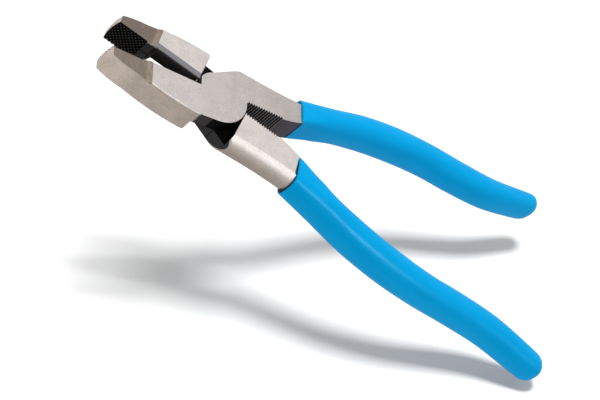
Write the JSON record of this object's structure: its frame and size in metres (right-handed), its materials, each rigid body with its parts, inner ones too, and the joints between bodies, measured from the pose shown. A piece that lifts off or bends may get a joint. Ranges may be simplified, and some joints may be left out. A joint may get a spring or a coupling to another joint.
{
  "type": "lineman pliers",
  "caption": "Square-nosed lineman pliers with knurled gripping jaws, side-cutting knives, a flush-riveted lap joint, crimping ridges and dipped plastic grips.",
  "frame": {"origin": "on the pivot axis, in the plane of the flat back face", "axes": "+X from the pivot towards the handles, so the jaws point to -X; +Y towards the handle of the half with the front joint leaf; +Z along the pivot axis to the front face"},
  "size_m": [0.2348, 0.1036, 0.0168],
  "materials": {
    "forged_steel": "fine-ground faces, with black oxide left in the lap recesses, hollows, knurl and ridges",
    "rivet_steel": "ground flush with the side faces",
    "grip_plastic": "smooth glossy dipped vinyl"
  },
  "bodies": {
    "lower_jaw": {"lower_jaw_half": "forged_steel", "upper_handle_grip": "grip_plastic", "pivot_rivet": "rivet_steel"},
    "upper_jaw": {"upper_jaw_half": "forged_steel", "lower_handle_grip": "grip_plastic"}
  },
  "joints": [
    {"name": "pivot", "type": "hinge", "parent": "lower_jaw", "child": "upper_jaw", "pos_m": [0, 0, 0.0064], "axis": [0, 0, -1], "range_deg": [-15.3, 34.7]}
  ]
}
